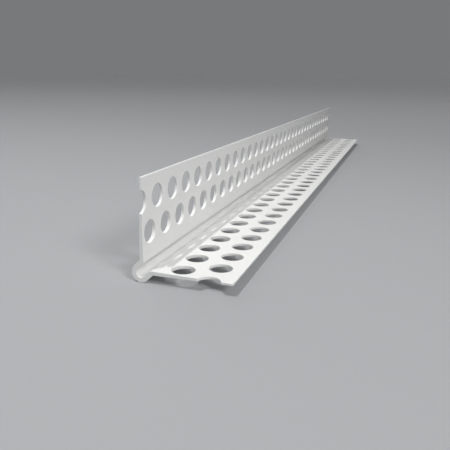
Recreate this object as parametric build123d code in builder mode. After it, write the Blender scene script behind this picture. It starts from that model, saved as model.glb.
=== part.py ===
"""Perforated plaster corner bead: one extruded and punched strip of white PVC.

Two thin legs meet at a right angle in a hollow rounded nose. The flat leg runs along +X, the upright
leg along +Z and the strip along Y. The legs' inner faces are flat, and their outer faces taper towards
the free edges, so that plaster feathers over them. The origin is below the middle of the strip, level
with the lowest line of the nose, on which the strip lies.
"""
from build123d import *
from math import ceil, floor, sqrt
import os

# Driving dimensions in millimetres
length = 305.0  # cut length of the strip
leg_width = 24.5  # each leg, from the arris where the outer faces would meet to its free edge
root_wall = 1.2  # thickness of a leg at the arris
edge_wall = 0.65  # thickness of a leg at its free edge
nose_radius = 2.5  # outside radius of the rounded nose
nose_wall = 1.3  # thickness of the nose and of the two flanks that carry it
nose_reach = 2.2  # how far the nose stands proud of the arris, in X and in Z
mouth_radius = 1.5  # rounding where a leg's inner face turns into the groove
root_radius = 0.3  # rounding where a leg's outer face meets the nose
edge_radius = 0.2  # rounding of the legs' free edges
hole_diameter = 6.0  # punched holes
hole_pitch = 9.0  # from hole to hole along a row; the two rows are staggered by half of it
inner_row = 10.2  # centre line of the row beside the nose, from the arris
outer_row = 18.5  # centre line of the row beside the free edge, from the arris
first_hole = 3.9  # from the front cut to the first hole of each inner row

# The holes that take nails, counted along a row from its first whole hole, are true rounds.
# The rest of the perforation has as many flat sides as look round, which keeps the strip light.
inner_nails = (8, 25)
outer_nails = (0, 11, 21, 32)
hole_sides = 20

# Sizes worked out from the driving dimensions
taper = (root_wall - edge_wall) / leg_width
groove_radius = nose_radius - nose_wall
nose_centre = nose_radius - nose_reach
hole_radius = hole_diameter / 2
front_end = -length / 2
arris = (-(leg_width - nose_reach) / 2, 0, nose_reach)

# Planes through the arris: across the strip, and along each leg
section_plane = Plane(origin=arris, x_dir=(1, 0, 0), z_dir=(0, -1, 0))
flat_plane = Plane(origin=arris, x_dir=(1, 0, 0), z_dir=(0, 0, 1))
upright_plane = Plane(origin=arris, x_dir=(0, 0, 1), z_dir=(-1, 0, 0))
bisector_plane = Plane(origin=(0, 0, 0), z_dir=(1, -1, 0))


def row_steps(first):
    """Numbers of a row's holes that reach into the strip, counted from the hole at first."""
    lowest = ceil(-(first + hole_radius) / hole_pitch)
    highest = floor((length + hole_radius - first) / hole_pitch)
    return range(lowest, highest + 1)


def leg_holes(nailed):
    """Centres of a leg's nail holes, or of its other holes: (distance from the arris, place on Y)."""
    inner = (inner_row, first_hole, inner_nails)
    outer = (outer_row, first_hole + hole_pitch / 2, outer_nails)
    centres = []
    for distance, first, nails in (inner, outer):
        for step in row_steps(first):
            if (step in nails) == nailed:
                centres.append((distance, front_end + first + step * hole_pitch))
    return centres


with BuildPart() as corner_bead:
    # Section: half the outline, from the nose round the flat leg and back, then its mirror image
    with BuildSketch(section_plane):
        with BuildLine():
            middle = (nose_centre, nose_centre)
            nose_arc = CenterArc(middle, nose_radius, 225, 90)
            groove_arc = CenterArc(middle, groove_radius, 225, 90)
            root = sqrt(2) * nose_radius / (1 - taper)
            mouth = root_wall + sqrt(2) * groove_radius
            FilletPolyline(
                nose_arc @ 1,
                (root, root * taper),
                (leg_width, leg_width * taper),
                (leg_width, root_wall),
                (mouth, root_wall),
                groove_arc @ 1,
                radius=[root_radius, edge_radius, edge_radius, mouth_radius],
            )
            Line(groove_arc @ 0, nose_arc @ 0)
        make_face()
        mirror(about=bisector_plane)
    extrude(amount=length / 2, both=True)

    # Two staggered rows of punched holes through each leg, those at the cuts only in part
    for leg_plane in (flat_plane, upright_plane):
        with BuildSketch(leg_plane):
            with Locations(*leg_holes(nailed=True)):
                Circle(hole_radius)
            with Locations(*leg_holes(nailed=False)):
                RegularPolygon(hole_radius, hole_sides)
        extrude(amount=2 * root_wall, both=True, mode=Mode.SUBTRACT)

corner_bead.part.label = "corner_bead"

os.makedirs("parts", exist_ok=True)
export_step(corner_bead.part, "parts/corner_bead.step")
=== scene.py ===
"""Perforated PVC corner bead on a pale studio floor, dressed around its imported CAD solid.

The strip is one mesh that stands for the CAD solid: the same section and holes, with finely divided
rounds, rolled rims at the punched holes and eased arrises at the two saw cuts. The section's sizes are
in millimetres, measured from the arris where the legs' outer faces would meet. Objects are in metres.
"""
from math import cos, pi, radians, sin, sqrt, tan

import bmesh
import bpy
from mathutils import Matrix, Vector


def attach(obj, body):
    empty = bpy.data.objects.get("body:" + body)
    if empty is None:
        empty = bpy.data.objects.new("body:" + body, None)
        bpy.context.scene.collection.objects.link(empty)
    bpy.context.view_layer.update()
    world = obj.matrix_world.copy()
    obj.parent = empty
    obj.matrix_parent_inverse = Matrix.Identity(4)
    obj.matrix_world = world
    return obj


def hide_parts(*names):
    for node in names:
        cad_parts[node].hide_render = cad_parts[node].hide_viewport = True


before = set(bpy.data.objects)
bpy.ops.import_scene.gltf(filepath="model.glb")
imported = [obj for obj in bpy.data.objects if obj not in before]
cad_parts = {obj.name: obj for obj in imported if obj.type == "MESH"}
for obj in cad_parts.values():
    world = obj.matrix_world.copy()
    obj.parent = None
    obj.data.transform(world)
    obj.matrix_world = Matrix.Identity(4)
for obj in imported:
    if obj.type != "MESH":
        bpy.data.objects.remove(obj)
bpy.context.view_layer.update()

MM = 0.001

# Section and perforation, in millimetres
LENGTH = 305.0
LEG_WIDTH = 24.5
ROOT_WALL = 1.2
EDGE_WALL = 0.65
NOSE_RADIUS = 2.5
NOSE_WALL = 1.3
NOSE_REACH = 2.2
MOUTH_RADIUS = 1.5
ROOT_RADIUS = 0.3
EDGE_RADIUS = 0.2
HOLE_RADIUS = 3.0
HOLE_PITCH = 9.0
INNER_ROW = 10.2
OUTER_ROW = 18.5
FIRST_HOLE = 3.9

# Finishing of the edges, in millimetres
ENTRY_RIM = 0.14  # rolled rim on the inner faces, where the punch went in
EXIT_RIM = 0.09  # rim on the outer faces, where it came out
SAW_EASE = 0.08  # eased arris round the saw cuts

# Fineness of the mesh
CELL_STEPS = 10  # along each side of the square cell round a hole
RIM_STEPS = 3
NOSE_STEPS = 16
GROOVE_STEPS = 10
MOUTH_STEPS = 6
ROOT_STEPS = 3
EDGE_STEPS = 4
SHARP_ANGLE = radians(40)
FLAT_WEIGHT = 100  # how much large faces outweigh small ones in the shading

# Tolerances of the mesh, in metres
WELD = 2e-6  # vertices this near to each other become one
ON_CUT = 1e-6  # a vertex this near to a saw cut lies on it
ON_PLANE = 1e-8  # the same while the cut is made

# Sizes worked out from the ones above
TAPER = (ROOT_WALL - EDGE_WALL) / LEG_WIDTH
GROOVE_RADIUS = NOSE_RADIUS - NOSE_WALL
NOSE_CENTRE = Vector((NOSE_RADIUS - NOSE_REACH, NOSE_RADIUS - NOSE_REACH))
ARRIS = Vector((-(LEG_WIDTH - NOSE_REACH) / 2, NOSE_REACH))
FRONT = -LENGTH / 2
ROW_BORDER = (INNER_ROW + OUTER_ROW) / 2
CELL_HALF = ROW_BORDER - INNER_ROW
CELLS_START = INNER_ROW - CELL_HALF
CELLS_END = OUTER_ROW + CELL_HALF
FIRST_INNER = FRONT + FIRST_HOLE
FIRST_OUTER = FIRST_INNER - HOLE_PITCH / 2
INNER_COUNT = 34
OUTER_COUNT = 35  # with the two that the saw cuts through

# Material slots of the strip
FACE, SAWN, PUNCHED = 0, 1, 2


def arc(radius, start, end, steps):
    """Points on an arc round the nose's centre, from one angle to another in degrees."""
    points = []
    for i in range(steps + 1):
        angle = radians(start + (end - start) * i / steps)
        points.append(NOSE_CENTRE + radius * Vector((cos(angle), sin(angle))))
    return points


def rounding(before, corner, after, radius, steps):
    """Points of the arc that replaces a corner of the section."""
    back = (before - corner).normalized()
    on = (after - corner).normalized()
    half = back.angle(on) / 2
    middle = corner + (back + on).normalized() * (radius / sin(half))
    first = corner + back * (radius / tan(half)) - middle
    turn = (pi - 2 * half) * (1 if first.y * back.x > first.x * back.y else -1)
    points = []
    for i in range(steps + 1):
        spin = Matrix.Rotation(turn * i / steps, 2)
        points.append(middle + spin @ first)
    return points


def mirrored(points):
    """The same points on the upright leg's side of the section."""
    return [Vector((p.y, p.x)) for p in points]


def outer_face(distance):
    """Point on the flat leg's outer face at a distance from the arris."""
    return Vector((distance, distance * TAPER))


def inner_face(distance):
    """Point on the flat leg's inner face at a distance from the arris."""
    return Vector((distance, ROOT_WALL))


def section_lines():
    """Lines of the section that are swept whole: nose, groove and the two free edges."""
    nose = arc(NOSE_RADIUS, 225, 315, NOSE_STEPS)
    root = outer_face(sqrt(2) * NOSE_RADIUS / (1 - TAPER))
    nose += rounding(nose[-1], root, outer_face(LEG_WIDTH), ROOT_RADIUS, ROOT_STEPS)
    nose.append(outer_face(CELLS_START))
    groove = arc(GROOVE_RADIUS, 225, 315, GROOVE_STEPS)
    mouth = inner_face(ROOT_WALL + sqrt(2) * GROOVE_RADIUS)
    groove += rounding(groove[-1], mouth, inner_face(LEG_WIDTH), MOUTH_RADIUS, MOUTH_STEPS)
    groove.append(inner_face(CELLS_START))
    low, high = outer_face(LEG_WIDTH), inner_face(LEG_WIDTH)
    edge = [outer_face(CELLS_END)]
    edge += rounding(edge[0], low, high, EDGE_RADIUS, EDGE_STEPS)
    edge += rounding(low, high, inner_face(CELLS_END), EDGE_RADIUS, EDGE_STEPS)
    edge.append(inner_face(CELLS_END))
    whole = [mirrored(half)[::-1] + half[1:] for half in (nose, groove)]
    return whole + [edge, mirrored(edge)]


class Sheet:
    """Vertices and quads of the strip before its ends are cut."""

    def __init__(self):
        self.bm = bmesh.new()

    def vertex(self, section, y):
        x, z = ARRIS + section
        return self.bm.verts.new((x * MM, y * MM, z * MM))

    def quads(self, first, second, closed, slot):
        """Joins two rows of vertices."""
        last = len(first) if closed else len(first) - 1
        for i in range(last):
            j = (i + 1) % len(first)
            face = self.bm.faces.new((first[i], first[j], second[j], second[i]))
            face.material_index = slot

    def sweep(self, line, places):
        """One line of the section, carried along the strip."""
        rows = [[self.vertex(point, y) for point in line] for y in places]
        for first, second in zip(rows, rows[1:]):
            self.quads(first, second, False, FACE)

    def cell(self, distance, y, upright):
        """The rectangle of a leg round one hole: inner face, rims, wall and outer face."""
        count = 4 * CELL_STEPS
        square, circle = [], []
        for i in range(count):
            side, step = divmod(i, CELL_STEPS)
            across = step / CELL_STEPS * 2 - 1
            corner = ((across, -1), (1, across), (-across, 1), (-1, -across))[side]
            square.append((corner[0] * HOLE_PITCH / 2, corner[1] * CELL_HALF))
            angle = radians(225 + 360 * i / count)
            circle.append((cos(angle), sin(angle)))

        def ring(offsets, place):
            row = []
            for along, across in offsets:
                point = place(distance + across)
                row.append(self.vertex(Vector((point.y, point.x)) if upright else point, y + along))
            return row

        def rim(radius, face, sign, angle):
            size = HOLE_RADIUS + radius * (1 - sin(angle))
            drop = Vector((0, sign * radius * (1 - cos(angle))))
            offsets = [(size * c, size * s) for c, s in circle]
            return ring(offsets, lambda d: face(d) + drop)

        turns = [pi / 2 * i / RIM_STEPS for i in range(RIM_STEPS + 1)]
        rings = [ring(square, inner_face)]
        rings += [rim(ENTRY_RIM, inner_face, -1, turn) for turn in turns]
        rings += [rim(EXIT_RIM, outer_face, 1, turn) for turn in reversed(turns)]
        rings.append(ring(square, outer_face))
        wall = 1 + RIM_STEPS
        for i, (first, second) in enumerate(zip(rings, rings[1:])):
            self.quads(first, second, True, PUNCHED if i == wall else FACE)

    def saw(self, y, outwards):
        """Cuts the strip off square, closes the cut and eases its arrises."""
        geometry = self.bm.verts[:] + self.bm.edges[:] + self.bm.faces[:]
        cut = (y - outwards * SAW_EASE) * MM
        bmesh.ops.bisect_plane(
            self.bm, geom=geometry, dist=ON_PLANE,
            plane_co=(0, cut, 0), plane_no=(0, outwards, 0), clear_outer=True,
        )
        rim = [
            e for e in self.bm.edges
            if e.is_boundary and all(abs(v.co.y - cut) < ON_CUT for v in e.verts)
        ]
        caps = bmesh.ops.holes_fill(self.bm, edges=rim, sides=0)["faces"]
        bmesh.ops.inset_region(self.bm, faces=caps, thickness=SAW_EASE * MM, use_even_offset=True)
        for face in caps:
            face.material_index = SAWN
        moved = {v for face in caps for v in face.verts}
        for vertex in moved:
            vertex.co.y = y * MM


def make_strip():
    """The whole strip as one closed mesh object."""
    sheet = Sheet()
    step = HOLE_PITCH / CELL_STEPS
    sweep_start = FIRST_OUTER - HOLE_PITCH / 2
    places = [sweep_start + i * step for i in range(OUTER_COUNT * CELL_STEPS + 1)]
    for line in section_lines():
        sheet.sweep(line, places)
    for upright in (False, True):
        for i in range(INNER_COUNT):
            sheet.cell(INNER_ROW, FIRST_INNER + i * HOLE_PITCH, upright)
        for i in range(OUTER_COUNT):
            sheet.cell(OUTER_ROW, FIRST_OUTER + i * HOLE_PITCH, upright)
    bmesh.ops.remove_doubles(sheet.bm, verts=sheet.bm.verts[:], dist=WELD)
    sheet.saw(FRONT, -1)
    sheet.saw(-FRONT, 1)
    bmesh.ops.recalc_face_normals(sheet.bm, faces=sheet.bm.faces[:])
    mesh = bpy.data.meshes.new("bead_strip")
    sheet.bm.to_mesh(mesh)
    sheet.bm.free()
    mesh.shade_smooth()
    mesh.set_sharp_from_angle(angle=SHARP_ANGLE)
    strip = bpy.data.objects.new("bead_strip", mesh)
    bpy.context.scene.collection.objects.link(strip)
    weighted = strip.modifiers.new("flat_faces_stay_flat", "WEIGHTED_NORMAL")
    weighted.mode = "FACE_AREA"
    weighted.weight = FLAT_WEIGHT
    weighted.keep_sharp = True
    return strip


class Nodes:
    """Short hand for the node tree of a material or of the world."""

    NOISE_SPAN = (0.3, 0.7)  # where most of a noise's values lie
    COLOUR_INPUTS = (6, 7)  # the colour sockets of a Mix node
    COLOUR_OUTPUT = 2

    def __init__(self, owner, shader):
        self.owner = owner
        self.owner.use_nodes = True
        self.tree = self.owner.node_tree
        self.shader = self.tree.nodes[shader]

    def add(self, kind, inputs=(), **settings):
        node = self.tree.nodes.new(kind)
        for key, value in settings.items():
            setattr(node, key, value)
        for name, value in dict(inputs).items():
            if isinstance(value, bpy.types.NodeSocket):
                self.tree.links.new(value, node.inputs[name])
            else:
                node.inputs[name].default_value = value
        return node

    def place(self, scale):
        """Object coordinates in metres, stretched by the scale."""
        where = self.add("ShaderNodeTexCoord").outputs["Object"]
        return self.add("ShaderNodeMapping", {"Vector": where, "Scale": scale}).outputs["Vector"]

    def noise(self, scale, detail, stretch=(1, 1, 1)):
        inputs = {"Vector": self.place(stretch), "Scale": scale, "Detail": detail}
        return self.add("ShaderNodeTexNoise", inputs).outputs["Fac"]

    def between(self, value, low, high):
        """The noise's usual span, spread from low to high."""
        least, most = self.NOISE_SPAN
        inputs = {"Value": value, "From Min": least, "From Max": most, "To Min": low, "To Max": high}
        return self.add("ShaderNodeMapRange", inputs).outputs["Result"]

    def mix(self, factor, colours):
        """A mixture of two colours."""
        node = self.add("ShaderNodeMix", {"Factor": factor}, data_type="RGBA")
        for socket, colour in zip(self.COLOUR_INPUTS, colours):
            node.inputs[socket].default_value = (*colour, 1)
        return node.outputs[self.COLOUR_OUTPUT]

    def bump(self, height, distance, strength, under=None):
        """Relief on the surface, over another relief if there is one."""
        inputs = {"Height": height, "Distance": distance, "Strength": strength}
        if under is not None:
            inputs["Normal"] = under
        return self.add("ShaderNodeBump", inputs).outputs["Normal"]

    def seen(self):
        """1 for what the camera sees, also in gloss and glass, and 0 for light that bounces."""
        rays = self.add("ShaderNodeLightPath").outputs
        seen = rays["Is Camera Ray"]
        for kind in ("Is Glossy Ray", "Is Transmission Ray"):
            seen = self.add("ShaderNodeMath", {0: seen, 1: rays[kind]}, operation="MAXIMUM").outputs[0]
        return seen

    def switch(self, low, high):
        """One value for light that bounces and another for what the camera sees."""
        inputs = {0: self.seen(), 1: high - low, 2: low}
        return self.add("ShaderNodeMath", inputs, operation="MULTIPLY_ADD").outputs[0]

    def finish(self, **links):
        """Sets the shader's sockets, and gives the material or world back."""
        for name, value in links.items():
            socket = self.shader.inputs[name.replace("_", " ")]
            if isinstance(value, bpy.types.NodeSocket):
                self.tree.links.new(value, socket)
            else:
                socket.default_value = value
        return self.owner


def material_nodes(name):
    return Nodes(bpy.data.materials.new(name), "Principled BSDF")


# Finish of the PVC: noise scales per metre, depths of relief in metres
PVC_IOR = 1.53
FACE_COLOURS = (0.835, 0.835, 0.82), (0.875, 0.875, 0.86)
FACE_ROUGHNESS = (0.32, 0.46)
MOTTLE_SCALE = 30
DIE_LINE_SCALE = 2400
DIE_LINE_STRETCH = (1, 0.003, 1)
DIE_LINE_DEPTH = 0.00006
PEEL_SCALE = 1500
PEEL_DEPTH = 0.00003
SAWN_COLOURS = (0.80, 0.80, 0.785), (0.85, 0.85, 0.835)
SAWN_ROUGHNESS = (0.55, 0.75)
TOOTH_MARK_SCALE = 1800
TOOTH_MARK_STRETCH = (1, 1, 0.08)
TOOTH_MARK_DEPTH = 0.00005
SAWN_GRAIN_SCALE = 5000
PUNCHED_COLOURS = (0.83, 0.83, 0.815), (0.87, 0.87, 0.855)
PUNCHED_ROUGHNESS = (0.38, 0.55)
PUNCHED_GRAIN_SCALE = 4200
GRAIN_DEPTH = 0.00002


def pvc_face():
    """Extruded skin: satin, faint die lines along the strip and a little mottling."""
    n = material_nodes("pvc_face")
    mottle = n.between(n.noise(MOTTLE_SCALE, 4), 0, 1)
    lines = n.noise(DIE_LINE_SCALE, 3, DIE_LINE_STRETCH)
    peel = n.noise(PEEL_SCALE, 2)
    relief = n.bump(peel, PEEL_DEPTH, 0.3, n.bump(lines, DIE_LINE_DEPTH, 0.6))
    roughness = n.between(lines, *FACE_ROUGHNESS)
    colour = n.mix(mottle, FACE_COLOURS)
    return n.finish(Base_Color=colour, Roughness=roughness, Normal=relief, IOR=PVC_IOR)


def pvc_sawn():
    """Saw cut: matt, a little greyer, with fine tooth marks across the section."""
    n = material_nodes("pvc_sawn")
    marks = n.noise(TOOTH_MARK_SCALE, 3, TOOTH_MARK_STRETCH)
    grain = n.noise(SAWN_GRAIN_SCALE, 2)
    relief = n.bump(grain, GRAIN_DEPTH, 0.3, n.bump(marks, TOOTH_MARK_DEPTH, 0.5))
    roughness = n.between(marks, *SAWN_ROUGHNESS)
    colour = n.mix(n.between(grain, 0, 1), SAWN_COLOURS)
    return n.finish(Base_Color=colour, Roughness=roughness, Normal=relief, IOR=PVC_IOR)


def pvc_punched():
    """Punched walls of the holes: sheared smooth, with a fine grain."""
    n = material_nodes("pvc_punched")
    grain = n.noise(PUNCHED_GRAIN_SCALE, 3)
    relief = n.bump(grain, GRAIN_DEPTH, 0.4)
    roughness = n.between(grain, *PUNCHED_ROUGHNESS)
    colour = n.mix(n.between(grain, 0, 1), PUNCHED_COLOURS)
    return n.finish(Base_Color=colour, Roughness=roughness, Normal=relief, IOR=PVC_IOR)


strip = make_strip()
for material in (pvc_face(), pvc_sawn(), pvc_punched()):
    strip.data.materials.append(material)
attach(strip, "root")
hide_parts("corner_bead")

# Stage: a wide pale floor that fades into an even background of the same grey
FLOOR_RADIUS = 30.0  # metres
FLOOR_SIDES = 96
FLOOR_COLOUR = (0.34, 0.345, 0.355)
FLOOR_GLOW = 0.15  # lifts the floor's grey for the camera alone
SKY = 0.197  # the far floor's grey, which the background takes up
AMBIENT = 0.07  # light that the background gives


def make_floor():
    """A flat round floor, matt, so that its grey is the same from all sides."""
    bm = bmesh.new()
    bmesh.ops.create_circle(bm, cap_ends=True, radius=FLOOR_RADIUS, segments=FLOOR_SIDES)
    mesh = bpy.data.meshes.new("studio_floor")
    bm.to_mesh(mesh)
    bm.free()
    floor = bpy.data.objects.new("studio_floor", mesh)
    bpy.context.scene.collection.objects.link(floor)
    n = material_nodes("studio_floor")
    colour = (*FLOOR_COLOUR, 1)
    glow = n.switch(0.0, FLOOR_GLOW)
    mesh.materials.append(n.finish(
        Base_Color=colour, Roughness=1.0, Specular_IOR_Level=0.0,
        Emission_Color=colour, Emission_Strength=glow,
    ))
    return floor


make_floor()

# Light: a steep key lamp, a soft spot on the front, and broad suns on the right, overhead and behind
scene = bpy.context.scene
world = Nodes(bpy.data.worlds.new("studio"), "Background")
tint = max(FLOOR_COLOUR)
sky = tuple(channel / tint for channel in FLOOR_COLOUR)
scene.world = world.finish(Color=(*sky, 1), Strength=world.switch(AMBIENT, SKY))


def make_lamp(name, kind, place, target, energy, **settings):
    """A lamp that points at the target: watts, or watts per square metre for a sun."""
    data = bpy.data.lights.new(name, kind)
    data.energy = energy
    for key, value in settings.items():
        setattr(data, key, value)
    lamp = bpy.data.objects.new(name, data)
    scene.collection.objects.link(lamp)
    lamp.location = place
    lamp.rotation_mode = "QUATERNION"
    lamp.rotation_quaternion = (Vector(target) - Vector(place)).to_track_quat("-Z", "Y")
    lamp.visible_camera = False


STRIP_FRONT = (0.0, -0.12, 0.01)
STRIP_MIDDLE = (0.0, 0.0, 0.0)
make_lamp("key", "AREA", (-0.32, -0.416, 1.29), STRIP_FRONT, 7.9, shape="DISK", size=0.012)
make_lamp(
    "fill", "SPOT", (0.816, -0.689, 0.73), (0.0, -0.185, 0.01), 57.0,
    spot_size=radians(23), spot_blend=1.0, shadow_soft_size=0.22,
)
make_lamp("right", "SUN", (0.8, -0.3, 0.6), STRIP_MIDDLE, 0.2, angle=radians(60))
make_lamp("overhead", "SUN", (0.0, 0.0, 1.5), STRIP_MIDDLE, 0.5, angle=radians(50))
make_lamp("back", "SUN", (-0.8, 0.5, 0.45), STRIP_MIDDLE, 1.0, angle=radians(60))

# Camera: as the photograph was taken, fitted to the rims of the holes
CAMERA_PLACE = (0.047069, -0.256519, 0.050070)
CAMERA_AZIMUTH = radians(19.080)
CAMERA_ELEVATION = radians(16.508)
CAMERA_ROLL = radians(1.029)
CAMERA_LENS = 40.591
SENSOR = 36.0
NEAREST = 0.005  # what is nearer to the camera isn't drawn

ahead = Vector((
    -sin(CAMERA_AZIMUTH) * cos(CAMERA_ELEVATION),
    cos(CAMERA_AZIMUTH) * cos(CAMERA_ELEVATION),
    -sin(CAMERA_ELEVATION),
))
camera_data = bpy.data.cameras.new("camera")
camera_data.sensor_width = SENSOR
camera_data.lens = CAMERA_LENS
camera_data.clip_start = NEAREST
camera = bpy.data.objects.new("camera", camera_data)
scene.collection.objects.link(camera)
camera.location = CAMERA_PLACE
camera.rotation_mode = "QUATERNION"
level = ahead.to_track_quat("-Z", "Y")
camera.rotation_quaternion = level @ Matrix.Rotation(CAMERA_ROLL, 3, "Z").to_quaternion()
scene.camera = camera

scene.view_settings.view_transform = "Standard"
